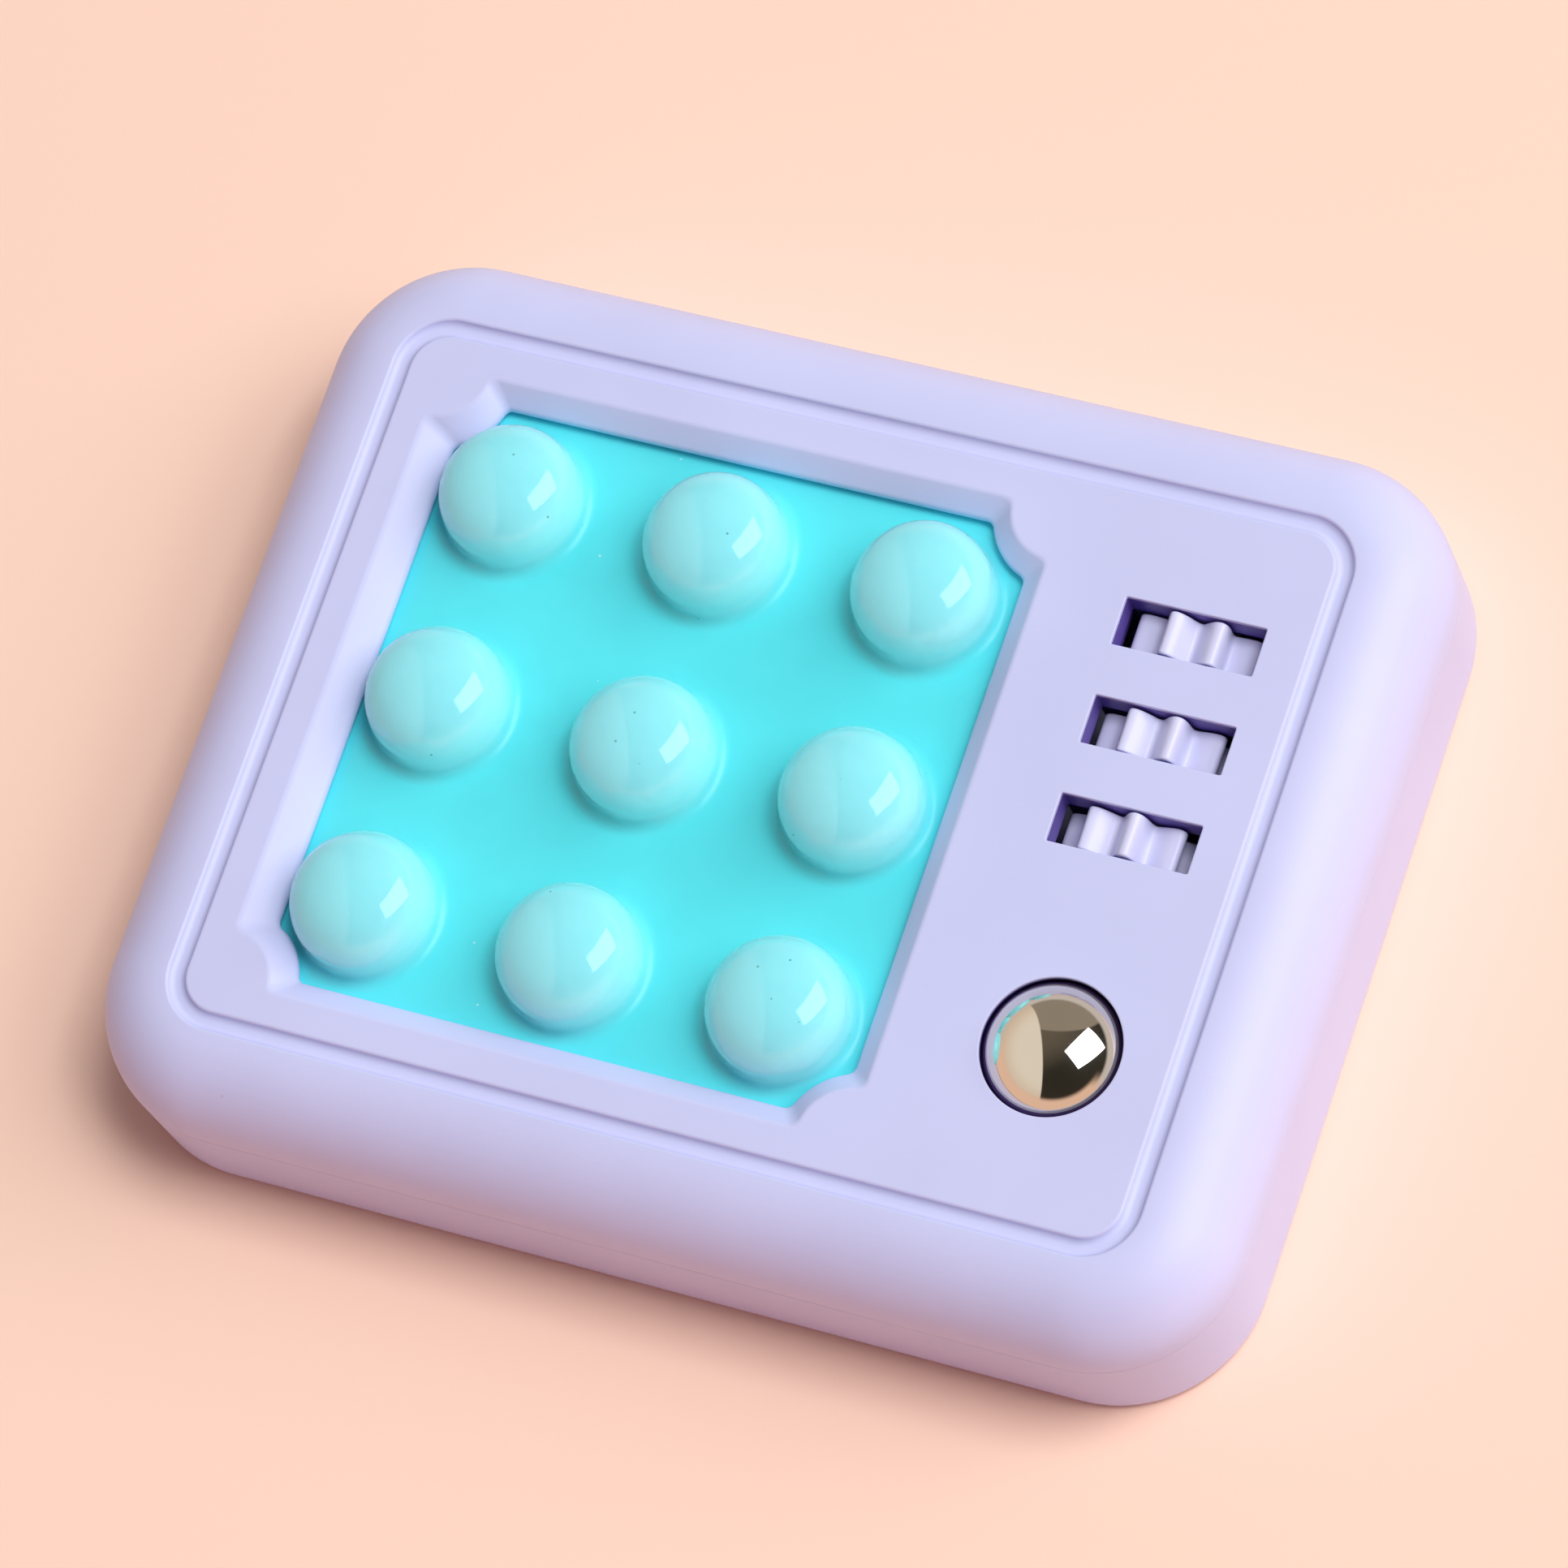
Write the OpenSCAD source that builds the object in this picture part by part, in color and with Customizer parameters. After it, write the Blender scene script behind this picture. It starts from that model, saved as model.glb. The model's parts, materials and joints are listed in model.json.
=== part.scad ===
// Hand-held fidget pad. A rounded case carries a face panel with nine silicone
// bubbles to press, three toothed thumb wheels to turn and a steel ball to roll.
// Lengths are in millimetres. The origin is the middle of the underside, +X runs
// along the long side, +Y towards the top edge of the face and +Z out of the face.

/* [Face panel] */
// Width of the face to the right of the window
control_w = 22.85; // [21:0.05:30]
// Width of the face to the left of the window, above it and below it
window_margin = 2.85; // [2.5:0.05:4]
// Corner radius of the raised face
panel_r = 3.2; // [1.5:0.1:5]
// Thickness of the panel, raised face included
panel_t = 2.6; // [2.2:0.1:3.2]
// Width of the groove around the raised face
groove_w = 1.35; // [1:0.05:2]
// Depth of that groove
groove_depth = 0.6; // [0.3:0.1:1]

/* [Case] */
// Width of the case rim outside the groove
rim_w = 7.15; // [6.5:0.05:10]
// Thickness of the case, bubbles not counted
case_t = 17; // [16.5:0.5:24]
// Height of the front shell above the parting line
front_h = 7.5; // [7:0.1:8.5]
// Rounding of the front edge
edge_r = 7; // [4:0.5:8]
// Rounding of the edge of the underside
base_r = 1; // [0.5:0.1:1.5]
// Wall thickness of both shells
wall = 2; // [1.6:0.1:2.4]
// Width of the ledge that carries the panel
ledge_w = 2; // [1.5:0.1:2.4]
// Thickness of that ledge, and of the skirt it hangs from
ledge_t = 1.6; // [1.2:0.1:2]
// Height of the locating lip on the back cover
lip_h = 1.2; // [0.8:0.1:1.6]
// Thickness of that lip
lip_t = 0.9; // [0.6:0.05:1.1]

/* [Window] */
// Floor of the window between the outer bubbles and its walls
bubble_margin = 0.75; // [0.6:0.05:3]
// How far the window walls lean in on their way down
window_run = 2.2; // [1:0.1:2.6]
// Floor of the window between a corner bubble and the round corner piece
notch_gap = 0.24; // [0.2:0.02:1]

/* [Bubbles] */
// Distance from one bubble to the next
bubble_pitch = 18; // [16:0.1:22]
// Radius of a bubble seen from above
bubble_r = 5.8; // [5:0.1:7]
// Radius of the wide cap on top of a bubble
bubble_cap = 7.5; // [6.5:0.1:12]
// Radius of the shoulder around the cap
bubble_shoulder = 3.5; // [2.5:0.1:4.5]
// Height of the straight part under the dome
bubble_base = 2.2; // [1:0.05:3]
// How much the foot is wider than the dome, each side
bubble_flare = 0.4; // [0.1:0.05:0.6]
// Thickness of a bubble's skin
bubble_skin = 0.9; // [0.6:0.05:1.4]
// Thickness of the silicone sheet
sheet_t = 1.2; // [0.8:0.1:1.6]
// How far the sheet reaches under the panel around the window
sheet_overlap = 3.05; // [2.6:0.05:3.4]
// Corner radius of the sheet and of its clamp
sheet_r = 2; // [1:0.5:3]
// Thickness of the clamp plate behind the sheet
clamp_t = 2; // [1.5:0.1:3]

/* [Thumb wheels] */
// Outer radius of a thumb wheel
wheel_r = 6; // [5.5:0.1:6.5]
// Number of teeth on a wheel
wheel_teeth = 9; // [7:1:12]
// Depth of the teeth
tooth_depth = 1.8; // [1:0.1:2]
// Width of the toothed rim
wheel_w = 3.7; // [3:0.1:4.5]
// Radius of the hub
hub_r = 2.4; // [2:0.1:3]
// How far the wheels stand out of the face
wheel_proud = 0.15; // [0:0.05:0.6]
// Distance from one wheel to the next
wheel_pitch = 8.45; // [7.5:0.05:9.4]
// Distance from the upper edge of the face to the first wheel
wheel_inset = 10.75; // [9.5:0.05:12]
// Diameter of the steel axle
axle_d = 2; // [1.5:0.1:2.5]
// Thickness of the cheeks that hold the axle
cheek_t = 2; // [1.5:0.1:2.6]
// Width of the rails along the sides of the carrier
rail_w = 1.4; // [1.2:0.1:1.8]
// Thickness of the rails and screw ears of the carrier
rail_t = 2; // [1.5:0.1:2.5]
// Radius of the screw ears of the carrier
ear_r = 1.7; // [1.5:0.1:2]

/* [Ball] */
// Diameter of the steel ball
ball_d = 12.7; // [11.5:0.1:14]
// Diameter of the hole it looks out of
ball_hole_d = 11.4; // [10:0.1:11.6]
// How far the ball stands out of the face
ball_proud = 2.65; // [2.5:0.05:3.2]
// Distance from the last wheel to the ball
ball_drop = 18.15; // [16.5:0.05:20]
// Thickness of the cup under the ball
cup_wall = 1.25; // [1:0.05:1.6]
// Thickness of the collar that holds the cup
collar_t = 1; // [0.8:0.1:1.1]
// Height of that collar
collar_h = 4; // [3:0.1:5]
// Radius of the post that backs the cup
post_r = 3; // [2:0.1:5]

/* [Screws] */
// Shank diameter of the case screws
case_screw_d = 2.2; // [1.8:0.1:2.4]
// Head diameter of the case screws
case_head_d = 4.2; // [3.6:0.1:4.4]
// Head height of the case screws
case_head_h = 1.5; // [1:0.1:2]
// How deep the case screw heads sit above the underside
case_head_z = 3; // [1:0.1:3.5]
// Wall around the case screws
boss_wall = 1.35; // [1:0.05:1.5]
// Distance from the case corner to the case screws
boss_edge = 4.3; // [4:0.05:4.5]
// Distance from the face down to the ends of the screw bosses in the front shell
boss_cover = 2.8; // [2.5:0.1:3.5]
// Material left above the holes in those bosses
boss_cap = 0.5; // [0.4:0.1:1]
// Shank diameter of the small inner screws
small_screw_d = 1.9; // [1.6:0.1:2]
// Head diameter of the small inner screws
small_head_d = 3.6; // [3:0.1:3.8]
// Head height of the small inner screws
small_head_h = 1.3; // [1:0.1:1.6]
// How deep the small screws bite into the panel
small_bite = 1.7; // [1.2:0.1:1.9]

/* [Clearances] */
// Gap between the panel and the case rim
panel_fit = 0.05; // [0.02:0.01:0.1]
// Gap beside the locating lip
lip_fit = 0.1; // [0.05:0.01:0.2]
// Gap between a bubble and the hole in the sheet
bubble_fit = 0.12; // [0.05:0.01:0.2]
// Gap between a bubble and the clamp plate
clamp_fit = 0.5; // [0.3:0.05:0.7]
// Gap on each side of a wheel in its slot
slot_fit = 0.2; // [0.15:0.05:0.4]
// Gap between a wheel and each end of its slot, under the panel
slot_end = 0.86; // [0.4:0.02:1.2]
// Gap between the hubs and the cheeks
hub_fit = 0.2; // [0.1:0.05:0.4]
// Gap between a wheel and the carrier rails
rail_fit = 0.4; // [0.3:0.05:0.6]
// Radial gap between a wheel and the axle
axle_fit = 0.05; // [0.02:0.01:0.1]
// Radial gap between fixed pins or screws and their holes
pin_fit = 0.03; // [0.01:0.01:0.05]
// Room above the tip of each screw in its blind hole
tip_room = 0.2; // [0.1:0.05:0.4]
// Gap between the ball and its cup and panel
ball_fit = 0.15; // [0.1:0.01:0.3]
// Gap between the carrier or the collar and the ledge of the case
carrier_fit = 0.25; // [0.15:0.05:1]
// Gap between the heads of the carrier screws and its end cheeks
head_fit = 0.2; // [0.1:0.05:0.5]
// Gap between the cup and its collar
cup_fit = 0.05; // [0.02:0.01:0.1]
// Gap between the cup and the post behind it
post_fit = 0.05; // [0.02:0.01:0.2]

/* [Hidden] */
$fn = 96;
// Overshoot of every cut
eps = 0.5;
// Bubbles along each side of the grid
bubble_n = 3;
// Thumb wheels, and how far each one stands turned in the photographed pose
wheel_n = 3;
wheel_turn = [-2, 7, 14.5];
// Points that draw one wave of the wheel's rim
tooth_steps = 16;

foot_r = bubble_r + bubble_flare;
// Where the shoulder's centre lies, and the slope at which it meets the cap
shoulder_x = bubble_r - bubble_shoulder;
cap_turn = asin(shoulder_x / (bubble_cap - bubble_shoulder));
cap_z = -(bubble_cap - bubble_shoulder) * cos(cap_turn);
grid_half = bubble_pitch * (bubble_n - 1) / 2;
window_w = 2 * (grid_half + foot_r + bubble_margin + window_run);
notch_r = sqrt(2) * (window_w / 2 - grid_half) - foot_r - window_run - notch_gap;
panel_w = window_margin + window_w + control_w;
panel_d = window_w + 2 * window_margin;

flange_w = panel_w + 2 * groove_w;
flange_d = panel_d + 2 * groove_w;
flange_r = panel_r + groove_w;
case_w = flange_w + 2 * rim_w;
case_d = flange_d + 2 * rim_w;
corner_r = flange_r + rim_w;
split_z = case_t - front_h;
front_edge_r = min(edge_r, front_h - 0.2);
panel_z = case_t - panel_t;
ledge_z = panel_z - ledge_t;
sheet_z = panel_z - sheet_t;
clamp_z = sheet_z - clamp_t;

window_x = -panel_w / 2 + window_margin + window_w / 2;
sheet_w = window_w - 2 * window_run + 2 * sheet_overlap;
// The clamp screws stand under the round corner pieces of the window
clamp_screw_at = sheet_w / 2 - sheet_overlap + window_run / 3;

ball_r = ball_d / 2;
cup_r = ball_r + ball_fit + cup_wall;
collar_r = cup_r + cup_fit + collar_t;
rail_x = wheel_r + rail_fit + rail_w / 2;
control_x = flange_w / 2 - ledge_w - carrier_fit - max(rail_x + ear_r, collar_r);

wheel_z = case_t + wheel_proud - wheel_r;
wheel_chord = sqrt(pow(wheel_r, 2) - pow(panel_z - wheel_z, 2));
slot_l = 2 * (wheel_chord + slot_end);
slot_w = wheel_w + 2 * slot_fit;
hub_w = wheel_pitch - cheek_t - 2 * hub_fit;
cheek_h = panel_z - wheel_z + axle_d / 2 + cheek_t;
carrier_top = wheel_y(0) + (wheel_pitch + cheek_t) / 2;
carrier_bottom = wheel_y(wheel_n - 1) - (wheel_pitch + cheek_t) / 2;
ear_reach = small_head_d / 2 + head_fit;

ball_z = case_t + ball_proud - ball_r;
ball_y = wheel_y(wheel_n - 1) - ball_drop;
cup_z = ball_z - cup_r;

boss_r = case_screw_d / 2 + boss_wall;
boss_h = front_h - boss_cover;
boss_x = case_w / 2 - corner_r + (corner_r - boss_edge) / sqrt(2);
boss_y = case_d / 2 - corner_r + (corner_r - boss_edge) / sqrt(2);
cover_boss_r = case_head_d / 2 + pin_fit + boss_wall;
case_seat_z = case_head_z + case_head_h;

// Height across the face of one thumb wheel, counted from the top
function wheel_y(i) = panel_d / 2 - wheel_inset - i * wheel_pitch;

// Centre of one bubble, counted along the rows from the top left
function bubble_at(i) = [
    window_x - grid_half + i % bubble_n * bubble_pitch,
    grid_half - floor(i / bubble_n) * bubble_pitch
];

// Rim of a wheel: a wave with a valley at the top
function wheel_rim(step) = wheel_r - tooth_depth / 2
    - tooth_depth / 2 * cos(360 * step / tooth_steps);

module at_corners(x, y) {
    for (sx = [-1, 1])
        for (sy = [-1, 1])
            translate([sx * x, sy * y, 0])
                children();
}

// Flat plate with round corners
module plate(w, d, r, h) {
    linear_extrude(h) {
        square([w - 2 * r, d], center = true);
        square([w, d - 2 * r], center = true);
        at_corners(w / 2 - r, d / 2 - r)
            circle(r);
    }
}

// Half section of a block whose upper edge is rounded
module edge_section(half, h, edge) {
    square([half, h - edge]);
    square([half - edge, h]);
    translate([half - edge, h - edge])
        intersection() {
            circle(edge);
            square(edge);
        }
}

// Block with round corners and a rounded upper edge
module rounded_block(w, d, r, h, edge) {
    side_x = w - 2 * r;
    side_y = d - 2 * r;
    translate([-side_x / 2, -side_y / 2, 0])
        cube([side_x, side_y, h]);
    for (turn = [0, 180])
        rotate([0, 0, turn]) {
            translate([w / 2 - r, side_y / 2, 0])
                rotate([90, 0, 0])
                    linear_extrude(side_y)
                        edge_section(r, h, edge);
            translate([-side_x / 2, d / 2 - r, 0])
                rotate([90, 0, 90])
                    linear_extrude(side_x)
                        edge_section(r, h, edge);
            translate([w / 2 - r, d / 2 - r, 0])
                rotate_extrude(angle = 90)
                    edge_section(r, h, edge);
            translate([-(w / 2 - r), d / 2 - r, 0])
                rotate([0, 0, 90])
                    rotate_extrude(angle = 90)
                        edge_section(r, h, edge);
        }
}

module at_case_screws() {
    at_corners(boss_x, boss_y)
        children();
}

module at_clamp_screws() {
    translate([window_x, 0, 0])
        at_corners(clamp_screw_at, clamp_screw_at)
            children();
}

module at_carrier_screws() {
    for (sx = [-1, 1])
        for (y = [carrier_top + ear_reach, carrier_bottom - ear_reach])
            translate([control_x + sx * rail_x, y, 0])
                children();
}

module front_shell() {
    color("lavender")
        difference() {
            union() {
                translate([0, 0, split_z])
                    difference() {
                        rounded_block(case_w, case_d, corner_r, front_h, front_edge_r);
                        translate([0, 0, -eps])
                            rounded_block(case_w - 2 * wall, case_d - 2 * wall, corner_r - wall,
                                front_h - wall + eps, front_edge_r - wall);
                    }
                translate([0, 0, ledge_z])
                    plate(flange_w + 2 * ledge_t, flange_d + 2 * ledge_t, flange_r + ledge_t,
                        case_t - wall + eps - ledge_z);
                translate([0, 0, split_z])
                    at_case_screws()
                        cylinder(r = boss_r, h = boss_h);
            }
            translate([0, 0, panel_z])
                plate(flange_w, flange_d, flange_r, panel_t + eps);
            translate([0, 0, ledge_z - eps])
                plate(flange_w - 2 * ledge_w, flange_d - 2 * ledge_w, flange_r - ledge_w,
                    ledge_t + 2 * eps);
            lip_rebate();
            translate([0, 0, split_z - eps])
                at_case_screws()
                    cylinder(d = case_screw_d + 2 * pin_fit, h = boss_h - boss_cap + eps);
        }
}

// Step inside the front shell that takes the lip of the back cover
module lip_rebate() {
    inset = wall - lip_t - lip_fit;
    translate([0, 0, split_z - eps])
        difference() {
            plate(case_w - 2 * inset, case_d - 2 * inset, corner_r - inset, lip_h + lip_fit + eps);
            translate([0, 0, -eps])
                plate(case_w - 2 * wall - eps, case_d - 2 * wall - eps, corner_r - wall - eps / 2,
                    lip_h + 3 * eps);
            at_case_screws()
                cylinder(r = boss_r, h = lip_h + 3 * eps);
        }
}

module back_cover() {
    lip_in = wall - lip_t;
    color("thistle")
        difference() {
            union() {
                difference() {
                    translate([0, 0, split_z])
                        rotate([180, 0, 0])
                            rounded_block(case_w, case_d, corner_r, split_z, base_r);
                    translate([0, 0, wall])
                        plate(case_w - 2 * wall, case_d - 2 * wall, corner_r - wall, split_z);
                }
                translate([0, 0, split_z - eps])
                    difference() {
                        plate(case_w - 2 * lip_in, case_d - 2 * lip_in, corner_r - lip_in,
                            lip_h + eps);
                        translate([0, 0, -eps])
                            plate(case_w - 2 * wall, case_d - 2 * wall, corner_r - wall,
                                lip_h + 3 * eps);
                        translate([0, 0, eps])
                            at_case_screws()
                                cylinder(r = boss_r + 2 * lip_fit, h = lip_h + eps);
                    }
                at_case_screws()
                    cylinder(r = cover_boss_r, h = split_z);
                translate([control_x, ball_y, wall - eps])
                    cylinder(r = post_r, h = cup_z - post_fit - wall + eps);
            }
            translate([0, 0, -eps])
                at_case_screws()
                    cylinder(d = case_head_d + 2 * pin_fit, h = case_seat_z + eps);
            at_case_screws()
                cylinder(d = case_screw_d + 2 * pin_fit, h = split_z + eps);
        }
}

// Cut with four leaning walls that leaves a round piece of the panel in each corner
module window_cut() {
    slope = window_run / panel_t;
    low = panel_z - eps;
    high = case_t + eps;
    function half(z) = window_w / 2 - slope * (case_t - z);
    translate([window_x, 0, 0])
        difference() {
            intersection() {
                window_trough(half(low), half(high), low, high);
                rotate([0, 0, 90])
                    window_trough(half(low), half(high), low, high);
            }
            translate([0, 0, low])
                at_corners(window_w / 2, window_w / 2)
                    cylinder(r1 = notch_r + slope * (case_t - low), r2 = notch_r - slope * eps,
                        h = high - low);
        }
}

// Long trough with two leaning walls
module window_trough(half_low, half_high, low, high) {
    translate([0, window_w, 0])
        rotate([90, 0, 0])
            linear_extrude(2 * window_w)
                polygon([[-half_low, low], [half_low, low], [half_high, high], [-half_high, high]]);
}

module face_panel() {
    color("lavender")
        difference() {
            union() {
                translate([0, 0, panel_z])
                    plate(flange_w - 2 * panel_fit, flange_d - 2 * panel_fit, flange_r - panel_fit,
                        panel_t - groove_depth);
                translate([0, 0, panel_z])
                    plate(panel_w, panel_d, panel_r, panel_t);
                translate([control_x, ball_y, panel_z - collar_h])
                    cylinder(r = collar_r, h = collar_h + eps);
            }
            window_cut();
            for (i = [0:wheel_n - 1])
                translate([control_x - slot_l / 2, wheel_y(i) - slot_w / 2, panel_z - eps])
                    cube([slot_l, slot_w, panel_t + 2 * eps]);
            translate([control_x, ball_y, panel_z - eps])
                cylinder(d = ball_hole_d, h = panel_t + 2 * eps);
            translate([control_x, ball_y, ball_z])
                sphere(r = ball_r + ball_fit);
            translate([control_x, ball_y, panel_z - collar_h - eps])
                cylinder(r = cup_r + cup_fit, h = collar_h + eps);
            translate([0, 0, panel_z - eps])
                at_clamp_screws()
                    cylinder(d = small_screw_d + 2 * pin_fit, h = small_bite + tip_room + eps);
            translate([0, 0, panel_z - eps])
                at_carrier_screws()
                    cylinder(d = small_screw_d + 2 * pin_fit, h = small_bite + tip_room + eps);
        }
}

module bubble_sheet() {
    color("turquoise")
        difference() {
            translate([window_x, 0, sheet_z])
                plate(sheet_w, sheet_w, sheet_r, sheet_t);
            for (i = [0:bubble_n * bubble_n - 1])
                translate(concat(bubble_at(i), sheet_z - eps))
                    cylinder(r = foot_r + bubble_fit, h = sheet_t + 2 * eps);
            translate([0, 0, sheet_z - eps])
                at_clamp_screws()
                    cylinder(d = small_screw_d + 2 * pin_fit, h = sheet_t + 2 * eps);
        }
}

// Half section of a dome: a wide cap that runs into a tighter shoulder
module dome_section(skin) {
    meet_x = (bubble_cap - skin) * sin(cap_turn);
    intersection() {
        translate([0, cap_z])
            circle(bubble_cap - skin);
        square([meet_x, bubble_cap]);
    }
    intersection() {
        translate([shoulder_x, 0])
            circle(bubble_shoulder - skin);
        translate([meet_x, 0])
            square(bubble_shoulder);
    }
}

// Hollow dome on a short flared foot, open at the back
module bubble(i) {
    color("paleturquoise")
        translate(concat(bubble_at(i), panel_z))
            rotate_extrude()
                difference() {
                    union() {
                        polygon([[0, -sheet_t], [foot_r, -sheet_t], [foot_r, 0],
                            [bubble_r, bubble_base], [0, bubble_base]]);
                        translate([0, bubble_base])
                            dome_section(0);
                    }
                    translate([0, bubble_base])
                        dome_section(bubble_skin);
                    translate([0, -sheet_t - eps])
                        square([bubble_r - bubble_skin, sheet_t + bubble_base + eps]);
                }
}

module sheet_clamp() {
    color("slategray")
        difference() {
            translate([window_x, 0, clamp_z])
                plate(sheet_w, sheet_w, sheet_r, clamp_t);
            for (i = [0:bubble_n * bubble_n - 1])
                translate(concat(bubble_at(i), clamp_z - eps))
                    cylinder(r = foot_r + clamp_fit, h = clamp_t + 2 * eps);
            translate([0, 0, clamp_z - eps])
                at_clamp_screws()
                    cylinder(d = small_screw_d + 2 * pin_fit, h = clamp_t + 2 * eps);
        }
}

module thumb_wheel(i) {
    points = wheel_teeth * tooth_steps;
    color("plum")
        translate([control_x, wheel_y(i), wheel_z])
            rotate([90, 0, 0])
                difference() {
                    union() {
                        linear_extrude(wheel_w, center = true)
                            polygon([for (k = [0:points - 1])
                                let (turn = 90 + wheel_turn[i] + 360 * k / points)
                                    wheel_rim(k) * [cos(turn), sin(turn)]]);
                        cylinder(r = hub_r, h = hub_w, center = true);
                    }
                    cylinder(d = axle_d + 2 * axle_fit, h = hub_w + 2 * eps, center = true);
                }
}

module wheel_axle() {
    color("silver")
        translate([control_x, carrier_top, wheel_z])
            rotate([90, 0, 0])
                cylinder(d = axle_d, h = carrier_top - carrier_bottom);
}

module wheel_carrier() {
    color("slateblue")
        difference() {
            union() {
                for (sx = [-1, 1])
                    translate([control_x + sx * rail_x - rail_w / 2, carrier_bottom - ear_reach,
                        panel_z - rail_t])
                        cube([rail_w, carrier_top - carrier_bottom + 2 * ear_reach, rail_t]);
                for (i = [0:wheel_n])
                    translate([control_x - rail_x, carrier_top - cheek_t - i * wheel_pitch,
                        panel_z - cheek_h])
                        cube([2 * rail_x, cheek_t, cheek_h]);
                translate([0, 0, panel_z - rail_t])
                    at_carrier_screws()
                        cylinder(r = ear_r, h = rail_t);
            }
            translate([control_x, carrier_top + eps, wheel_z])
                rotate([90, 0, 0])
                    cylinder(d = axle_d + 2 * pin_fit, h = carrier_top - carrier_bottom + 2 * eps);
            translate([0, 0, panel_z - rail_t - eps])
                at_carrier_screws()
                    cylinder(d = small_screw_d + 2 * pin_fit, h = rail_t + 2 * eps);
        }
}

module steel_ball() {
    color("silver")
        translate([control_x, ball_y, ball_z])
            sphere(d = ball_d);
}

module ball_cup() {
    color("slategray")
        translate([control_x, ball_y, 0])
            difference() {
                translate([0, 0, cup_z])
                    cylinder(r = cup_r, h = panel_z - cup_z);
                translate([0, 0, ball_z])
                    sphere(r = ball_r + ball_fit);
                translate([0, 0, ball_z])
                    cylinder(r = ball_r + ball_fit, h = panel_z - ball_z + eps);
            }
}

module case_screws() {
    color("gray")
        at_case_screws() {
            translate([0, 0, case_head_z])
                cylinder(d = case_head_d, h = case_head_h);
            translate([0, 0, case_head_z])
                cylinder(d = case_screw_d, h = split_z + boss_h - boss_cap - tip_room - case_head_z);
        }
}

// Pan-head screw under a plate, biting into the panel
module small_screw(seat_z) {
    translate([0, 0, seat_z - small_head_h])
        cylinder(d = small_head_d, h = small_head_h);
    translate([0, 0, seat_z - small_head_h])
        cylinder(d = small_screw_d, h = panel_z + small_bite - seat_z + small_head_h);
}

module clamp_screws() {
    color("gray")
        at_clamp_screws()
            small_screw(clamp_z);
}

module carrier_screws() {
    color("gray")
        at_carrier_screws()
            small_screw(panel_z - rail_t);
}

front_shell();
back_cover();
face_panel();
bubble_sheet();
bubble(0);  // bubble_1
bubble(1);  // bubble_2
bubble(2);  // bubble_3
bubble(3);  // bubble_4
bubble(4);  // bubble_5
bubble(5);  // bubble_6
bubble(6);  // bubble_7
bubble(7);  // bubble_8
bubble(8);  // bubble_9
sheet_clamp();
thumb_wheel(0);  // thumb_wheel_1
thumb_wheel(1);  // thumb_wheel_2
thumb_wheel(2);  // thumb_wheel_3
wheel_axle();
wheel_carrier();
steel_ball();
ball_cup();
case_screws();
clamp_screws();
carrier_screws();
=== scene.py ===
"""Looks of a hand-held bubble pop fidget pad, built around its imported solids."""

import json
from math import acos, atan2, cos, degrees, pi, radians, sin, sqrt

import bmesh
import bpy
from bpy.props import FloatProperty, FloatVectorProperty, IntProperty, PointerProperty
from mathutils import Matrix, Quaternion, Vector
from mathutils.geometry import tessellate_polygon


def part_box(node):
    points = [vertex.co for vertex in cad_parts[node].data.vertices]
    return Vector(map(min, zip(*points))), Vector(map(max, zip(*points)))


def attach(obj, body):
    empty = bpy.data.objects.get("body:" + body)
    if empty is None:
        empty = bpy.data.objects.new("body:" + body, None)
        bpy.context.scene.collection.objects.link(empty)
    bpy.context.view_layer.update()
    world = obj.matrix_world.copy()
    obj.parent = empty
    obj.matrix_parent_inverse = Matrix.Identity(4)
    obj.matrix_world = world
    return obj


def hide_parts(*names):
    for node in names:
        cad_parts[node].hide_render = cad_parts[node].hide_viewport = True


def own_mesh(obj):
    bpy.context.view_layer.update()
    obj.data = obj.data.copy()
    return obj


bl_info = {
    "name": "Bubble Pop Fidget Pad",
    "version": (1, 0, 0),
    "blender": (4, 5, 0),
    "location": "View3D > Sidebar > Fidget Pad",
    "description": "Builds the moulded case, the silicone bubbles and the controls of a fidget pad",
    "category": "Object",
}

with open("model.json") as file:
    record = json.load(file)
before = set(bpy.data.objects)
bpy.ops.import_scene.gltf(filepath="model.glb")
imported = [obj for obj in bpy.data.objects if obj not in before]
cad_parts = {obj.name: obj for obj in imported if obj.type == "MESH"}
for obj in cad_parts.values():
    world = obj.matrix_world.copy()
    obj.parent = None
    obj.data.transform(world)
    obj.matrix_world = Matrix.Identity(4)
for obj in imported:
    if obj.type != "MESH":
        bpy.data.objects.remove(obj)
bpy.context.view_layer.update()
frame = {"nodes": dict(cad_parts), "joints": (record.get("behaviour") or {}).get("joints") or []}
MM = 0.001
SHEET_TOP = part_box("bubble_sheet")[1].z
FACE_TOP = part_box("face_panel")[1].z
BUBBLES = ["bubble_%d" % i for i in range(1, 10)]
WHEELS = ["thumb_wheel_%d" % i for i in range(1, 4)]

# Cosine and sine of each quarter turn
QUARTERS = ((1, 0), (0, 1), (-1, 0), (0, -1))

# Steps around round shapes
BUBBLE_STEPS = 72
BALL_STEPS = 128
HOLE_STEPS = 96
COLLAR_STEPS = 72
SCREW_STEPS = 48
TOOTH_STEPS = 28

# Edges sharper than the first stay crisp, and a radius under the second counts as none
SHARP_ANGLE = radians(40)
ON_AXIS = 1e-9

# Where the arcs of the shell's section end, in degrees
RIM_EDGE_END = 95
INNER_WALL_END = 72

# Floor and camera, in metres apart from the frame
FLOOR_HALF = 4.0
FLOOR_DROP = 0.02 * MM
FAR_CLIP = 20.0
FRAME_WIDTH_MM = 36

# Dust on the silicone
PALE_DUST = (0.85, 0.95, 0.95)
DARK_DUST = (0.02, 0.16, 0.18)

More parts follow.
